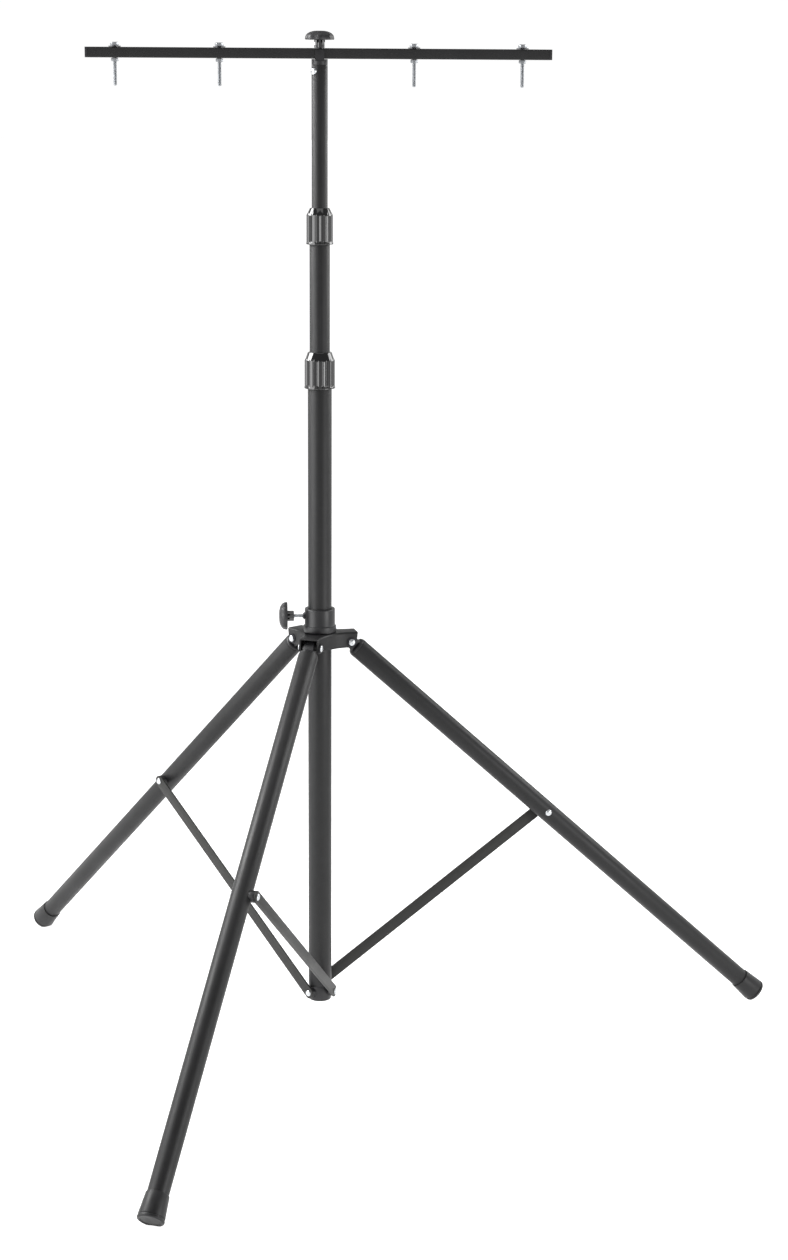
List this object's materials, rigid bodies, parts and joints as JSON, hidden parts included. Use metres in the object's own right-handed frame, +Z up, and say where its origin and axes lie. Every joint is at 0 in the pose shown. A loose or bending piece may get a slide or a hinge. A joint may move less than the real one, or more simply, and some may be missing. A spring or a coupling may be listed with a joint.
{
  "type": "telescopic lamp tripod stand",
  "caption": "Folding tripod stand with a sliding hub, flat struts, telescoping tubes with twist locks and a bolted cross bar for lamps.",
  "frame": {"origin": "middle of the flat underside of the column's bottom plug, 63.4 mm above the floor", "axes": "+Z up the column, +X along the lamp bar"},
  "size_m": [1.2903, 1.3466, 1.6331],
  "materials": {
    "black_tube": "satin black powder coat",
    "black_plastic": "satin to gloss moulded plastic",
    "knob_plastic": "fine-grained moulded plastic",
    "foot_rubber": "matt moulded rubber",
    "zinc_steel": "bright zinc plating"
  },
  "bodies": {
    "column": {"lower_tube": "black_tube", "bottom_plug": "black_plastic", "lower_lock_base": "black_plastic", "lower_lock_collet": "black_plastic"},
    "lower_lock": {"lower_lock_sleeve": "black_plastic"},
    "hub": {"hub_spider": "black_tube", "hub_sleeve": "black_plastic", "hub_thread_insert": "black_tube", "hub_rivet_1": "zinc_steel", "hub_rivet_2": "zinc_steel", "hub_rivet_3": "zinc_steel"},
    "hub_knob": {"hub_knob": "knob_plastic", "hub_knob_stud": "zinc_steel"},
    "mid_guide": {"mid_tube_guide": "black_plastic"},
    "mid_tube": {"mid_tube": "black_tube", "upper_lock_base": "black_plastic", "upper_lock_collet": "black_plastic"},
    "upper_lock": {"upper_lock_sleeve": "black_plastic"},
    "top_guide": {"top_tube_guide": "black_plastic"},
    "top_tube": {"top_tube": "black_tube", "bar_saddle": "black_plastic", "saddle_screw": "zinc_steel", "lamp_bar": "black_tube", "bar_cap_left": "black_plastic", "bar_cap_right": "black_plastic", "lamp_bolt_1": "zinc_steel", "lamp_washer_1": "black_tube", "lamp_nut_1": "zinc_steel", "lamp_bolt_2": "zinc_steel", "lamp_washer_2": "black_tube", "lamp_nut_2": "zinc_steel", "lamp_bolt_3": "zinc_steel", "lamp_washer_3": "black_tube", "lamp_nut_3": "zinc_steel", "lamp_bolt_4": "zinc_steel", "lamp_washer_4": "black_tube", "lamp_nut_4": "zinc_steel"},
    "top_knob": {"top_knob": "knob_plastic", "top_knob_stud": "zinc_steel"},
    "leg_1": {"leg_1_tube": "black_tube", "leg_1_top_plug": "black_plastic", "leg_1_foot": "foot_rubber", "strut_1_leg_rivet": "zinc_steel", "strut_1_spacer": "black_plastic"},
    "strut_1": {"strut_1": "black_tube", "strut_1_lower_rivet": "zinc_steel"},
    "leg_2": {"leg_2_tube": "black_tube", "leg_2_top_plug": "black_plastic", "leg_2_foot": "foot_rubber", "strut_2_leg_rivet": "zinc_steel", "strut_2_spacer": "black_plastic"},
    "strut_2": {"strut_2": "black_tube", "strut_2_lower_rivet": "zinc_steel"},
    "leg_3": {"leg_3_tube": "black_tube", "leg_3_top_plug": "black_plastic", "leg_3_foot": "foot_rubber", "strut_3_leg_rivet": "zinc_steel", "strut_3_spacer": "black_plastic"},
    "strut_3": {"strut_3": "black_tube", "strut_3_lower_rivet": "zinc_steel"}
  },
  "joints": [
    {"name": "hub_slide", "type": "slide", "parent": "column", "child": "hub", "axis": [0, 0, 1], "range_m": [-0.02, 0.3436]},
    {"name": "hub_knob_turn", "type": "hinge", "parent": "hub", "child": "hub_knob", "pos_m": [-0.0523, 0, 0.651], "axis": [-1, 0, 0], "range_deg": [0, 720]},
    {"name": "lower_lock_twist", "type": "hinge", "parent": "column", "child": "lower_lock", "pos_m": [0, 0, 1.019], "axis": [0, 0, 1], "range_deg": [0, 180]},
    {"name": "mid_tube_slide", "type": "slide", "parent": "column", "child": "mid_guide", "axis": [0, 0, 1], "range_m": [-0.165, 0.67]},
    {"name": "mid_tube_swivel", "type": "hinge", "parent": "mid_guide", "child": "mid_tube", "pos_m": [0, 0, 0.286], "axis": [0, 0, 1], "continuous": true},
    {"name": "upper_lock_twist", "type": "hinge", "parent": "mid_tube", "child": "upper_lock", "pos_m": [0, 0, 1.2445], "axis": [0, 0, 1], "range_deg": [0, 180]},
    {"name": "top_tube_slide", "type": "slide", "parent": "mid_tube", "child": "top_guide", "axis": [0, 0, 1], "range_m": [-0.2, 0.66]},
    {"name": "top_tube_swivel", "type": "hinge", "parent": "top_guide", "child": "top_tube", "pos_m": [0, 0, 0.518], "axis": [0, 0, 1], "continuous": true},
    {"name": "top_knob_turn", "type": "hinge", "parent": "top_tube", "child": "top_knob", "pos_m": [0, 0, 1.5562], "axis": [0, 0, 1], "range_deg": [0, 720]},
    {"name": "leg_1_fold", "type": "hinge", "parent": "hub", "child": "leg_1", "pos_m": [0.04821, 0.00876, 0.608], "axis": [-0.1788, 0.9839, 0], "range_deg": [-2.8, 47.72]},
    {"name": "strut_1_fold", "type": "hinge", "parent": "leg_1", "child": "strut_1", "pos_m": [0.3815, 0.06933, 0.29976], "axis": [-0.1788, 0.9839, 0], "range_deg": [-95.58, 5.58]},
    {"name": "leg_2_fold", "type": "hinge", "parent": "hub", "child": "leg_2", "pos_m": [-0.03169, 0.03737, 0.608], "axis": [-0.7627, -0.6468, 0], "range_deg": [-2.8, 47.72]},
    {"name": "strut_2_fold", "type": "hinge", "parent": "leg_2", "child": "strut_2", "pos_m": [-0.25079, 0.29573, 0.29976], "axis": [-0.7627, -0.6468, 0], "range_deg": [-95.58, 5.58]},
    {"name": "leg_3_fold", "type": "hinge", "parent": "hub", "child": "leg_3", "pos_m": [-0.01652, -0.04613, 0.608], "axis": [0.9415, -0.3371, 0], "range_deg": [-2.8, 47.72]},
    {"name": "strut_3_fold", "type": "hinge", "parent": "leg_3", "child": "strut_3", "pos_m": [-0.13071, -0.36506, 0.29976], "axis": [0.9415, -0.3371, 0], "range_deg": [-95.58, 5.58]}
  ],
  "couplings": [
    {"joint": "leg_1_fold", "follows": "hub_slide", "rad_per_m": 2.4229},
    {"joint": "strut_1_fold", "follows": "hub_slide", "rad_per_m": -4.8541},
    {"joint": "leg_2_fold", "follows": "hub_slide", "rad_per_m": 2.4229},
    {"joint": "strut_2_fold", "follows": "hub_slide", "rad_per_m": -4.8541},
    {"joint": "leg_3_fold", "follows": "hub_slide", "rad_per_m": 2.4229},
    {"joint": "strut_3_fold", "follows": "hub_slide", "rad_per_m": -4.8541}
  ]
}
